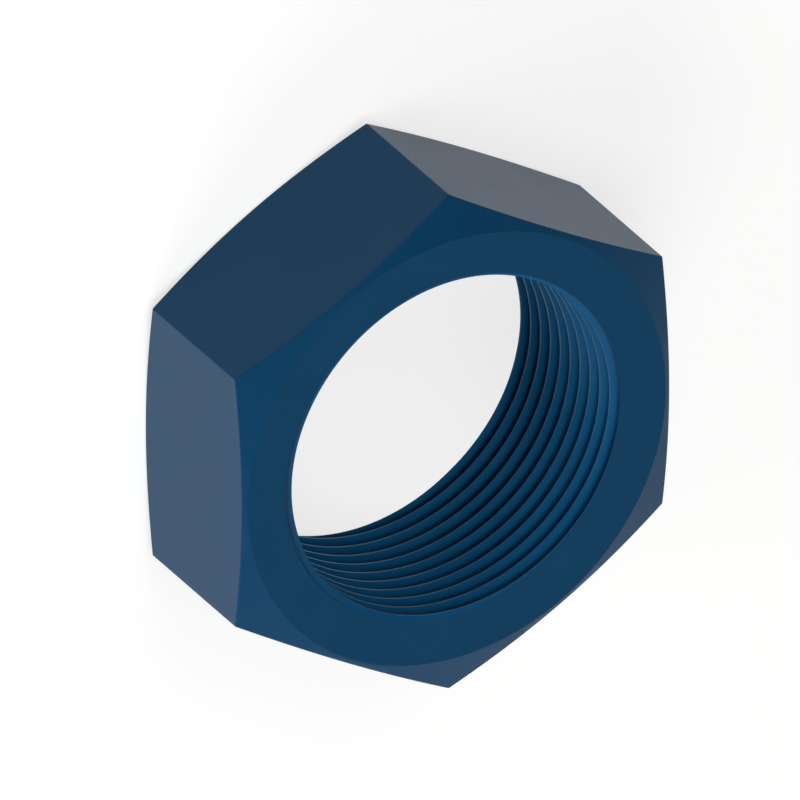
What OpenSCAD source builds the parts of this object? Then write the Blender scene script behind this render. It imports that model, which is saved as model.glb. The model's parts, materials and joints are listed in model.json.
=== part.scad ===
// Thin-walled hexagon lock nut for an M40 x 2 thread, turned and tapped from one piece of hexagon bar.
// It lies on one bearing face: +Z runs along the thread axis, the origin is the centre of the lower face,
// two corners of the hexagon lie on the X axis and two flats face along Y.

/* [Hexagon] */
// Width across the flats, the size of the spanner
across_flats = 50; // [46:0.5:65]
// Thickness along the thread axis
thickness = 20; // [8:0.5:45]

/* [Chamfer] */
// Angle between the chamfer cone and the bearing face
chamfer_angle = 20; // [10:1:35]
// How far the round edge of the bearing face lies inside the flats
face_inset = 0.6; // [0:0.1:2]

/* [Thread] */
// Nominal diameter of the thread
thread_d = 40; // [30:0.5:42]
// Pitch of the thread
thread_pitch = 2; // [0.75:0.25:3]

/* [Hidden] */

// A circumscribed circle of the hexagon passes through its corners
corner_r = across_flats / 2 / cos(30);
// The bearing face is the circle that the chamfer cone leaves
face_r = across_flats / 2 - face_inset;
// The turned outline runs out past the corners, so that the flats keep their full width in the middle
turned_r = corner_r + 1;
turned_drop = (turned_r - face_r) * tan(chamfer_angle);
// Basic profile of a metric thread: the hole is drilled to 5/8 of the triangle height on each side
triangle_h = thread_pitch * sqrt(3) / 2;
minor_r = thread_d / 2 - triangle_h * 5 / 8;
// Cutting tools start and end this far outside the solid
overrun = 1;
// Smoothness of the turned faces
turned_fn = 180;

// Piece of hexagon bar, with two corners on the X axis
module hexagon_bar() {
    cylinder(r = corner_r, h = thickness, $fn = 6);
}

// Solid of revolution between the two chamfer cones
module chamfer_envelope() {
    rotate_extrude($fn = turned_fn)
        polygon([
            [0, 0],
            [face_r, 0],
            [turned_r, turned_drop],
            [turned_r, thickness - turned_drop],
            [face_r, thickness],
            [0, thickness],
        ]);
}

// Hole at the thread's minor diameter, straight through both bearing faces with no countersink
module tapping_hole() {
    translate([0, 0, -overrun])
        cylinder(r = minor_r, h = thickness + 2 * overrun, $fn = turned_fn);
}

module lock_nut() {
    color("#163D5D")
        difference() {
            intersection() {
                hexagon_bar();
                chamfer_envelope();
            }
            tapping_hole();
        }
}

lock_nut();
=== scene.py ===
# %% [markdown]
# # A hexagon lock nut with a blue coating
#
# The real nut is one piece of steel: hexagon bar is cut to length, both ends are chamfered on a
# lathe, the hole is drilled and tapped M40 x 2, and the whole nut is sprayed with a dark blue
# fluoropolymer and baked. The frame already holds the nut's true size, with a plain hole in place
# of the thread. This script builds the same nut with its thread, and gives it its finish, its
# light and its camera. Lengths are in metres, and `MM` turns a size in millimetres into one.

# %% Load the frame
import json
import math

import bmesh
import bpy
from mathutils import Matrix, Vector


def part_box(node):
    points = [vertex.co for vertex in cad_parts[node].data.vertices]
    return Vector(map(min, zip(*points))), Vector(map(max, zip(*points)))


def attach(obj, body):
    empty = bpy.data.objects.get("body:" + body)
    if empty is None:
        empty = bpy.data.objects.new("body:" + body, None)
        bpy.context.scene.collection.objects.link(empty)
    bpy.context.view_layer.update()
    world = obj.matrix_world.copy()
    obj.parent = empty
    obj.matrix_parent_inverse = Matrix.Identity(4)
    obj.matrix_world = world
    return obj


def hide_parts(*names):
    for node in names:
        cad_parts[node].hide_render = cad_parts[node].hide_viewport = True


MM = 0.001
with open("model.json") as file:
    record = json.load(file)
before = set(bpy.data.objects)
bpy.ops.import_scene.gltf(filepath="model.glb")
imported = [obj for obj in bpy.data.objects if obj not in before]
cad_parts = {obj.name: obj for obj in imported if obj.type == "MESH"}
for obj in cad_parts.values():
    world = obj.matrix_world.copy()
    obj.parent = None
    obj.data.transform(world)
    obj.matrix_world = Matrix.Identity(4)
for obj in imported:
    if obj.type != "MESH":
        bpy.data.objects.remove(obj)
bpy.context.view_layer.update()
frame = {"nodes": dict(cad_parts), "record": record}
print("frame nodes:", sorted(frame["nodes"]))

# %% [markdown]
# ## Sizes
#
# Every size that the frame holds is read from it: the box gives the thickness and the width
# across the flats, and the thread mount gives the radius of the hole. What the frame leaves out
# is named here: the thread's own form, and the chamfer, which is a cone at 20 degrees to the
# bearing face that starts 0.6 mm inside the flats.
#
# The thread's profile has 60 degrees between its flanks, so each flank rises at 60 degrees to the
# axis. The crests have a flat of an eighth of the pitch, narrow as in the photo, and the roots
# one of a quarter, which puts the roots at 20 mm, half of the nominal diameter.

# %% Sizes of the nut
nut_low, nut_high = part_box("lock_nut")
thickness = nut_high.z - nut_low.z
across_flats = nut_high.y - nut_low.y
mounts = {mount["name"]: mount for mount in frame["record"]["mounts"]}
minor_radius = mounts["thread"]["dims"]["r_mm"] * MM

sides = 6
side_degrees = 360 / sides
chamfer_slope = math.tan(math.radians(20))
face_inset = 0.6 * MM
face_radius = across_flats / 2 - face_inset
edge_break = 0.12 * MM

pitch = 2 * MM
crest_flat = pitch / 8
root_flat = pitch / 4
flank_slope = math.tan(math.radians(60))
thread_depth = (pitch - crest_flat - root_flat) / 2 * flank_slope
major_radius = minor_radius + thread_depth
print(f"{across_flats / MM:.1f} mm across flats, {thickness / MM:.1f} mm thick")
print(f"thread {2 * minor_radius / MM:.2f} to {2 * major_radius / MM:.2f} mm")

# %% [markdown]
# ## One helper for node trees
#
# Geometry Nodes and materials are both trees of nodes. Most nodes need the same three things:
# settings, numbers in their free inputs, and links into the others. One function does all three.
# An input is named by its label or its place, and is given either a number or another node's
# output.

# %% A function that adds one node
def add_node(tree, kind, inputs=None, **settings):
    node = tree.nodes.new(kind)
    for name, value in settings.items():
        setattr(node, name, value)
    for socket, value in (inputs or {}).items():
        if isinstance(value, bpy.types.NodeSocket):
            tree.links.new(value, node.inputs[socket])
        else:
            node.inputs[socket].default_value = value
    return node


# %% [markdown]
# ## Colours
#
# Colours are written as sRGB hex values, as in a paint chart. Blender's sockets want linear
# light, so one function turns the one into the other.

# %% sRGB to linear
def linear(hex_colour):
    channels = []
    for start in (1, 3, 5):
        value = int(hex_colour[start:start + 2], 16) / 255
        if value <= 0.04045:
            channels.append(value / 12.92)
        else:
            channels.append(((value + 0.055) / 1.055) ** 2.4)
    return (*channels, 1.0)


# %% [markdown]
# ## The coating
#
# Fluoropolymer coating (PTFE in a resin binder) is sprayed on phosphated steel and baked. It is
# an opaque film some 30 micrometres thick: satin, a little waxy, and so full of pigment that it
# mirrors hardly anything head-on. It looks deep blue from the front and greys only where it is
# seen at a flat angle. `Specular Tint` sets that: it darkens the head-on reflection and leaves
# the one at flat angles alone. A clear coat over a base, as on a car, would mirror head-on too
# and look wet, so one Principled shader with that tint is the simpler and truer way.
#
# Spraying leaves a faint orange peel of about a millimetre, and the film's thickness drifts over
# several millimetres, which shifts its depth of colour and its gloss a little. Both patterns are
# noise in Object coordinates, scaled from those real sizes.
#
# In the grooves of the thread the spray arrives half dry, from the side, and the film there is
# duller. Its blue is painted lighter than the outside's, as painted light for the light that
# reaches less far into the hole, and it darkens into the roots as painted shade. Only the crests,
# where the plug gauge rubs, are as smooth as the outside. All of this depends on how far a point
# lies from the thread's axis, so one function makes both films.

# %% Blue fluoropolymer coating
drift_size = 7 * MM
peel_size = 0.9 * MM
peel_height = 0.0012 * MM
rubbed_depth = 0.03 * MM
# Depths below the crests over which the roots darken into painted shade.
root_shade_depths = (0.5 * MM, 0.95 * MM)
satin_roughness = (0.37, 0.43)
dry_roughness = (0.5, 0.6)


def sprayed_film(name, deep, pale, roughness, crest_radius=0.0, root=None):
    """Blue film that drifts between two colours and roughnesses.

    With a `crest_radius` it is the film in a thread: satin on the crests, and darkening to the
    colour `root` in the roots as painted shade.
    """
    material = bpy.data.materials.new(name)
    material.use_nodes = True
    tree = material.node_tree
    tree.nodes.clear()
    place = add_node(tree, "ShaderNodeTexCoord").outputs["Object"]
    drift = add_node(
        tree, "ShaderNodeTexNoise",
        {"Vector": place, "Scale": 1 / drift_size, "Detail": 2.0, "Roughness": 0.5},
    ).outputs[0]
    colour = add_node(
        tree, "ShaderNodeMix",
        {"Factor": drift, "A": linear(deep), "B": linear(pale)}, data_type="RGBA",
    ).outputs["Result"]
    gloss = add_node(
        tree, "ShaderNodeMapRange",
        {"Value": drift, "To Min": roughness[0], "To Max": roughness[1]},
    ).outputs[0]
    if crest_radius:
        level = add_node(
            tree, "ShaderNodeVectorMath", {0: place, 1: (1, 1, 0)}, operation="MULTIPLY",
        ).outputs[0]
        radius = add_node(
            tree, "ShaderNodeVectorMath", {0: level}, operation="LENGTH",
        ).outputs["Value"]
        gloss = add_node(
            tree, "ShaderNodeMapRange",
            {
                "Value": radius,
                "From Min": crest_radius,
                "From Max": crest_radius + rubbed_depth,
                "To Min": satin_roughness[1],
                "To Max": gloss,
            },
        ).outputs[0]
        # Painted shade: the colour darkens towards `root` with depth into the roots.
        root_shade = add_node(
            tree, "ShaderNodeMapRange",
            {
                "Value": radius,
                "From Min": crest_radius + root_shade_depths[0],
                "From Max": crest_radius + root_shade_depths[1],
            },
        ).outputs[0]
        colour = add_node(
            tree, "ShaderNodeMix",
            {"Factor": root_shade, "A": colour, "B": linear(root)}, data_type="RGBA",
        ).outputs["Result"]
    peel = add_node(
        tree, "ShaderNodeTexNoise",
        {"Vector": place, "Scale": 1 / peel_size, "Detail": 1.0},
    ).outputs[0]
    surface = add_node(
        tree, "ShaderNodeBump",
        {"Height": peel, "Strength": 1.0, "Distance": peel_height},
    ).outputs[0]
    film = add_node(
        tree, "ShaderNodeBsdfPrincipled",
        {
            "Base Color": colour,
            "Roughness": gloss,
            "IOR": 1.45,
            "Specular Tint": linear("#3F3F3F"),
            "Normal": surface,
        },
    )
    add_node(tree, "ShaderNodeOutputMaterial", {"Surface": film.outputs[0]})
    print(name, "nodes:", len(tree.nodes))
    return material


satin_film = sprayed_film(
    "blue_fluoropolymer_coating", "#073858", "#093C5D", satin_roughness,
)
# Painted light: the thread's blue is lighter than the outside's, to stand in for light that reaches
# less far into the hole.
thread_film = sprayed_film(
    "thread_coating_with_painted_light_and_shade", "#09486F", "#0B4E77", dry_roughness,
    # Painted shade: `root` is the dark colour painted into the roots of the thread.
    crest_radius=minor_radius, root="#032645",
)

# %% [markdown]
# ## The thread, as a rule
#
# A tapped hole is one surface that follows a rule: at any height and angle, the wall's radius
# depends only on how far that point lies from the nearest crest, and the crests climb by one
# pitch in each turn, anticlockwise seen from above, which makes the thread right-hand. Geometry
# Nodes can write that rule down once. A flat grid is wrapped round the axis: its width is the
# angle, and its rows ride up the helix, so that every crest and root edge lies on a row and
# comes out sharp. Rows that would leave the nut are held at its faces, where they meet in the
# edge that the groove cuts into each face. Merging by distance then closes the seam.
#
# A screw modifier or a boolean with a coil could make a thread too, but both leave ragged ends
# where the groove runs out through the faces, and those ends are in plain view here.

# %% The thread's node tree
rows_per_pitch = 16
columns = 360
weld_distance = 0.001 * MM


def thread_tree():
    tree = bpy.data.node_groups.new("tapped_wall", "GeometryNodeTree")
    sockets = (
        ("Thickness", "NodeSocketFloat"),
        ("Pitch", "NodeSocketFloat"),
        ("Minor Radius", "NodeSocketFloat"),
        ("Major Radius", "NodeSocketFloat"),
        ("Crest Flat", "NodeSocketFloat"),
        ("Flank Slope", "NodeSocketFloat"),
        ("Crest Height", "NodeSocketFloat"),
        ("Columns", "NodeSocketInt"),
        ("Rows Per Pitch", "NodeSocketInt"),
        ("Material", "NodeSocketMaterial"),
    )
    for name, kind in sockets:
        tree.interface.new_socket(name, in_out="INPUT", socket_type=kind)
    tree.interface.new_socket("Geometry", in_out="OUTPUT", socket_type="NodeSocketGeometry")
    size = add_node(tree, "NodeGroupInput").outputs

    def calc(operation, *values):
        inputs = dict(enumerate(values))
        return add_node(tree, "ShaderNodeMath", inputs, operation=operation).outputs[0]

    # The rows cover the nut and one more pitch at each end
    covered = calc("MULTIPLY_ADD", size["Pitch"], 2.0, size["Thickness"])
    row_height = calc("DIVIDE", size["Pitch"], size["Rows Per Pitch"])
    rows = calc("DIVIDE", covered, row_height)
    sheet = add_node(
        tree, "GeometryNodeMeshGrid",
        {
            "Size X": 1.0,
            "Size Y": 1.0,
            "Vertices X": calc("ADD", size["Columns"], 1.0),
            "Vertices Y": calc("ADD", calc("ROUND", rows), 1.0),
        },
    ).outputs["Mesh"]
    across = add_node(
        tree, "ShaderNodeSeparateXYZ",
        {0: add_node(tree, "GeometryNodeInputPosition").outputs[0]},
    ).outputs
    turn = calc("ADD", across["X"], 0.5)
    climb = calc("ADD", across["Y"], 0.5)

    # Height of each point before it is held between the faces
    below = calc("MULTIPLY_ADD", size["Pitch"], -2.0, size["Crest Height"])
    own_row = calc("MULTIPLY_ADD", climb, covered, below)
    lifted = calc("MULTIPLY_ADD", turn, size["Pitch"], own_row)
    height = calc("MINIMUM", calc("MAXIMUM", lifted, 0.0), size["Thickness"])

    # Distance along the axis from the nearest crest, then the wall's radius there
    from_crest = calc("DIVIDE", calc("SUBTRACT", height, size["Crest Height"]), size["Pitch"])
    turns_away = calc("PINGPONG", calc("SUBTRACT", from_crest, turn), 0.5)
    along = calc("MULTIPLY", turns_away, size["Pitch"])
    past_flat = calc("MULTIPLY_ADD", size["Crest Flat"], -0.5, along)
    wall = calc("MULTIPLY_ADD", past_flat, size["Flank Slope"], size["Minor Radius"])
    radius = calc("MINIMUM", calc("MAXIMUM", wall, size["Minor Radius"]), size["Major Radius"])

    angle = calc("MULTIPLY", turn, math.tau)
    wrapped = add_node(
        tree, "ShaderNodeCombineXYZ",
        {
            "X": calc("MULTIPLY", radius, calc("COSINE", angle)),
            "Y": calc("MULTIPLY", radius, calc("SINE", angle)),
            "Z": height,
        },
    ).outputs[0]
    moved = add_node(tree, "GeometryNodeSetPosition", {"Geometry": sheet, "Position": wrapped})
    closed = add_node(
        tree, "GeometryNodeMergeByDistance",
        {"Geometry": moved.outputs[0], "Distance": weld_distance},
    )
    inward = add_node(tree, "GeometryNodeFlipFaces", {"Mesh": closed.outputs[0]})
    real = add_node(tree, "GeometryNodeRealizeInstances", {"Geometry": inward.outputs[0]})
    coated = add_node(
        tree, "GeometryNodeSetMaterial",
        {"Geometry": real.outputs[0], "Material": size["Material"]},
    )
    add_node(tree, "NodeGroupOutput", {0: coated.outputs[0]})
    return tree


# %% [markdown]
# ## Baking the wall
#
# The modifier's inputs are set by their identifiers before the object is first evaluated. The
# evaluated result becomes a plain mesh, and the carrier object with its modifier goes away.
# `crest_height` says where the thread starts: the height of a crest's middle straight above the
# X axis, which puts the groove's open end where the photo shows it, low on the left of the face.

# %% Bake the tapped wall
crest_height = 1.35 * MM


def bake(tree, values):
    carrier = bpy.data.objects.new("carrier", bpy.data.meshes.new("carrier"))
    bpy.context.scene.collection.objects.link(carrier)
    modifier = carrier.modifiers.new("shape", "NODES")
    modifier.node_group = tree
    for item in tree.interface.items_tree:
        if item.in_out == "INPUT" and item.name in values:
            modifier[item.identifier] = values[item.name]
    evaluated = carrier.evaluated_get(bpy.context.evaluated_depsgraph_get())
    mesh = bpy.data.meshes.new_from_object(evaluated)
    bpy.data.objects.remove(carrier)
    return mesh


tapped_wall = bake(thread_tree(), {
    "Thickness": thickness,
    "Pitch": pitch,
    "Minor Radius": minor_radius,
    "Major Radius": major_radius,
    "Crest Flat": crest_flat,
    "Flank Slope": flank_slope,
    "Crest Height": crest_height,
    "Columns": columns,
    "Rows Per Pitch": rows_per_pitch,
    "Material": thread_film,
})
print("tapped wall:", len(tapped_wall.vertices), "vertices,", len(tapped_wall.polygons), "faces")

# %% [markdown]
# ## Faces, chamfers and flats
#
# The wall is open at both ends, and its two open edges are where the bearing faces start. For
# each column of the wall, four more points are worked out at the same angle: the bearing circle
# and the flat's edge above, and the same two below. The chamfer cone meets a flat in a curve
# that is highest in the middle and lowest at the corners. Working the curve out from the cone
# gives those arcs their true form, and because the corners fall on columns they stay sharp.
# Cutting a hexagon with two cones would give the same form, but in long thin triangles that
# shade badly, and the wall's rim would have to be stitched to them.

# %% Close the solid
same_height = 0.01 * MM


def hexagon_radius(angle):
    """Distance from the axis to the flats, with two corners on the X axis."""
    from_middle = math.degrees(angle) % side_degrees - side_degrees / 2
    return across_flats / 2 / math.cos(math.radians(from_middle))


def rim(solid, height):
    """Open edge of the wall at this height, one vertex for each column."""
    found = [None] * columns
    for vertex in solid.verts:
        if vertex.is_boundary and abs(vertex.co.z - height) < same_height:
            turn = math.atan2(vertex.co.y, vertex.co.x) / math.tau
            found[round(turn * columns) % columns] = vertex
    return found


def outline(solid, height, inwards):
    """Bearing circle and flat's edge at one end. `inwards` is the way into the nut, 1 or -1."""
    circle, edge = [], []
    for column in range(columns):
        angle = math.tau * column / columns
        way = Vector((math.cos(angle), math.sin(angle), 0))
        corner = hexagon_radius(angle)
        drop = (corner - face_radius) * chamfer_slope
        circle.append(solid.verts.new(way * face_radius + Vector((0, 0, height))))
        edge.append(solid.verts.new(way * corner + Vector((0, 0, height + inwards * drop))))
    return circle, edge


solid = bmesh.new()
solid.from_mesh(tapped_wall)
for face in solid.faces:
    face.material_index = 1
low_rim = rim(solid, 0)
high_rim = rim(solid, thickness)
low_circle, low_edge = outline(solid, 0, 1)
high_circle, high_edge = outline(solid, thickness, -1)
rings = (low_rim, low_circle, low_edge, high_edge, high_circle, high_rim)
for ring, next_ring in zip(rings, rings[1:]):
    for column in range(columns):
        after = (column + 1) % columns
        solid.faces.new((ring[column], ring[after], next_ring[after], next_ring[column]))
bmesh.ops.recalc_face_normals(solid, faces=solid.faces)
open_edges = [edge for edge in solid.edges if len(edge.link_faces) != 2]
print("faces:", len(solid.faces), "open edges:", len(open_edges))

# %% [markdown]
# ## Edge breaks
#
# No machined and sprayed edge is a knife edge. The corners of the bar and the arcs where the
# chamfers meet the flats are rounded by about a tenth of a millimetre, which is about one pixel
# here, and is what lets an edge catch a thin line of light. The edges of the bearing circles,
# of the thread's mouth and of its crests and roots stay as the tools left them. Those are marked
# sharp, so that the faces on either side keep their own shading. A Bevel modifier picks edges by
# their angle and would round the thread as well, so bmesh bevels only the edges that it is given.

# %% Round the outer edges and mark the sharp ones
thread_edge_angle = math.radians(40)


def ring_edges(solid, ring):
    after = ring[1:] + ring[:1]
    return [solid.edges.get(pair) for pair in zip(ring, after)]


for ring in (low_rim, low_circle, high_circle, high_rim):
    for edge in ring_edges(solid, ring):
        edge.smooth = False
for edge in solid.edges:
    if edge.calc_face_angle() > thread_edge_angle and edge.link_faces[0].material_index == 1:
        edge.smooth = False
outer_edges = ring_edges(solid, low_edge) + ring_edges(solid, high_edge)
for column in range(0, columns, columns // sides):
    outer_edges.append(solid.edges.get((low_edge[column], high_edge[column])))
bmesh.ops.bevel(
    solid, geom=outer_edges, offset=edge_break, segments=2, profile=0.5,
    affect="EDGES",
)
solid.normal_update()
for face in solid.faces:
    face.smooth = True
volume = solid.calc_volume(signed=True)
print(f"volume {volume / MM ** 3:.0f} mm3, {len(solid.faces)} faces")

# %% [markdown]
# ## One piece of steel
#
# The finished solid becomes one object at the origin, with its place in its mesh. Weighted
# normals let the large flat faces set the shading, and leave the turn to the narrow edge breaks.

# %% The nut as one object
nut_mesh = bpy.data.meshes.new("threaded_nut")
solid.to_mesh(nut_mesh)
solid.free()
nut_mesh.materials.append(satin_film)
nut_mesh.materials.append(thread_film)
nut = bpy.data.objects.new("threaded_nut", nut_mesh)
bpy.context.scene.collection.objects.link(nut)
shading = nut.modifiers.new("face_shading", "WEIGHTED_NORMAL")
shading.keep_sharp = True
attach(nut, "root")
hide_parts("lock_nut")
print("nut:", len(nut_mesh.polygons), "faces,", len(nut_mesh.materials), "films of coating")

# %% [markdown]
# ## Floor
#
# A nut can't stand on a corner, so it lies on one bearing face on a table. The table is a light
# grey matt surface, and throws little light back up at the nut. Light Path makes it white for the
# camera and for what the coating mirrors: for those rays alone a plain glow is added to the light
# that the table gives back, so the nut's soft shadow stays on it. The room behind the table is
# made white later with the same three rays, so one function picks them out. The table top is a
# hundredth of a millimetre under the nut, so that no ray has to choose between two surfaces at
# the same height.

# %% White floor
def seen_or_mirrored(tree):
    """1 for a ray that comes from the camera, a mirror or a glass, and 0 for any other."""
    rays = add_node(tree, "ShaderNodeLightPath").outputs
    direct = add_node(
        tree, "ShaderNodeMath",
        {0: rays["Is Camera Ray"], 1: rays["Is Glossy Ray"]}, operation="MAXIMUM",
    ).outputs[0]
    return add_node(
        tree, "ShaderNodeMath",
        {0: direct, 1: rays["Is Transmission Ray"]}, operation="MAXIMUM",
    ).outputs[0]


table_glow = 0.66
floor_material = bpy.data.materials.new("white_table")
floor_material.use_nodes = True
tree = floor_material.node_tree
tree.nodes.clear()
matt = add_node(tree, "ShaderNodeBsdfDiffuse", {"Color": linear("#A8A8A6")})
lift = add_node(
    tree, "ShaderNodeMath", {0: seen_or_mirrored(tree), 1: table_glow}, operation="MULTIPLY",
).outputs[0]
glow = add_node(tree, "ShaderNodeEmission", {"Strength": lift})
both = add_node(tree, "ShaderNodeAddShader", {0: matt.outputs[0], 1: glow.outputs[0]})
add_node(tree, "ShaderNodeOutputMaterial", {"Surface": both.outputs[0]})

floor_half = 1.5
floor_height = -0.01 * MM
corner_signs = ((-1, -1), (1, -1), (1, 1), (-1, 1))
floor_mesh = bpy.data.meshes.new("table_top")
floor_mesh.from_pydata(
    [(x * floor_half, y * floor_half, floor_height) for x, y in corner_signs],
    [], [(0, 1, 2, 3)],
)
floor_mesh.materials.append(floor_material)
floor = bpy.data.objects.new("table_top", floor_mesh)
bpy.context.scene.collection.objects.link(floor)
print(f"table {2 * floor_half:.0f} m wide, top at {floor_height / MM:.2f} mm")

# %% [markdown]
# ## Camera
#
# The photo is a parallel projection: opposite edges of the nut stay parallel in it. It shows the
# nut as if it stood on a corner, with its axis level and turned 30 degrees from the view, seen
# from 30 degrees above. The same view of a nut that lies on its face needs a camera that looks
# down at it and is rolled. The two descriptions share three directions, the thread axis, the
# corner that points up and the way across both, so matching these gives the camera's turn.
# `PICTURE` values are pixels of the 800 x 800 picture.

# %% Camera at the photo's angle
PICTURE_SIDE = 800
PICTURE_ACROSS_FLATS = 493.9
PICTURE_FACE_CENTRE = (456.9, 448.7)
view_turn = math.radians(30)
view_height = math.radians(30)
top_corner_angle = math.radians(240)

axis_seen = Vector((
    math.sin(view_turn),
    -math.cos(view_turn) * math.sin(view_height),
    math.cos(view_turn) * math.cos(view_height),
))
corner_seen = Vector((0, math.cos(view_height), math.sin(view_height)))
axis = Vector((0, 0, 1))
corner = Vector((math.cos(top_corner_angle), math.sin(top_corner_angle), 0))
seen_by_camera = Matrix((corner_seen, axis_seen, corner_seen.cross(axis_seen)))
on_the_table = Matrix((corner, axis, corner.cross(axis)))
camera_turn = on_the_table.transposed() @ seen_by_camera

metres_per_pixel = across_flats / PICTURE_ACROSS_FLATS
face_offset = Vector((
    (PICTURE_FACE_CENTRE[0] - PICTURE_SIDE / 2) * metres_per_pixel,
    (PICTURE_SIDE / 2 - PICTURE_FACE_CENTRE[1]) * metres_per_pixel,
    0,
))
camera_distance = Vector((0, 0, 0.35))
face_centre = Vector((0, 0, thickness))
camera_data = bpy.data.cameras.new("camera")
camera_data.type = "ORTHO"
camera_data.ortho_scale = PICTURE_SIDE * metres_per_pixel
camera = bpy.data.objects.new("camera", camera_data)
bpy.context.scene.collection.objects.link(camera)
camera.matrix_world = Matrix.Translation(
    face_centre + camera_turn @ (camera_distance - face_offset)
) @ camera_turn.to_4x4()
bpy.context.scene.camera = camera
print("camera looks along", [round(value, 3) for value in -camera_turn.col[2]])

# %% [markdown]
# ## Light
#
# The light is that of a small product studio, four softboxes a metre away. Two high ones light the
# bearing face from above. One at the side and a low one in front light the flats and the walls
# of the thread. Together they act like one large lamp beside the camera. Azimuth is counted from
# the X axis and elevation from the table. A strength is what a white surface that faces the lamp
# gives back, where 1 is white. The world adds a little fill. It is white only where it is seen
# or mirrored, and greys the chamfers and flats that are seen at a flat angle.

# %% Softboxes and world
lamp_distance = 1.0
lamp_side = 0.5


def softbox(name, azimuth, elevation, strength):
    data = bpy.data.lights.new(name, "AREA")
    data.size = lamp_side
    # A lamp of power P lights a white surface to P / (pi * distance) ** 2
    data.energy = strength * (math.pi * lamp_distance) ** 2
    lamp = bpy.data.objects.new(name, data)
    bpy.context.scene.collection.objects.link(lamp)
    turn, rise = math.radians(azimuth), math.radians(elevation)
    way = Vector((math.cos(turn) * math.cos(rise), math.sin(turn) * math.cos(rise), math.sin(rise)))
    lamp.location = way * lamp_distance
    lamp.rotation_euler = way.to_track_quat("Z", "Y").to_euler()
    print(f"{name}: {azimuth} degrees round, {elevation} up, {data.energy:.1f} W")


softbox("high_key", azimuth=300, elevation=70, strength=0.35)
softbox("top_key", azimuth=240, elevation=50, strength=0.22)
softbox("side", azimuth=30, elevation=30, strength=0.45)
softbox("low_front", azimuth=330, elevation=10, strength=0.65)

fill = 0.14
world = bpy.data.worlds.new("room")
bpy.context.scene.world = world
world.use_nodes = True
tree = world.node_tree
tree.nodes.clear()
brightness = add_node(
    tree, "ShaderNodeMath", {0: seen_or_mirrored(tree), 1: 1 - fill, 2: fill},
    operation="MULTIPLY_ADD",
).outputs[0]
sky = add_node(tree, "ShaderNodeBackground", {"Color": (1, 1, 1, 1), "Strength": brightness})
add_node(tree, "ShaderNodeOutputWorld", {"Surface": sky.outputs[0]})
bpy.context.scene.view_settings.view_transform = "Standard"
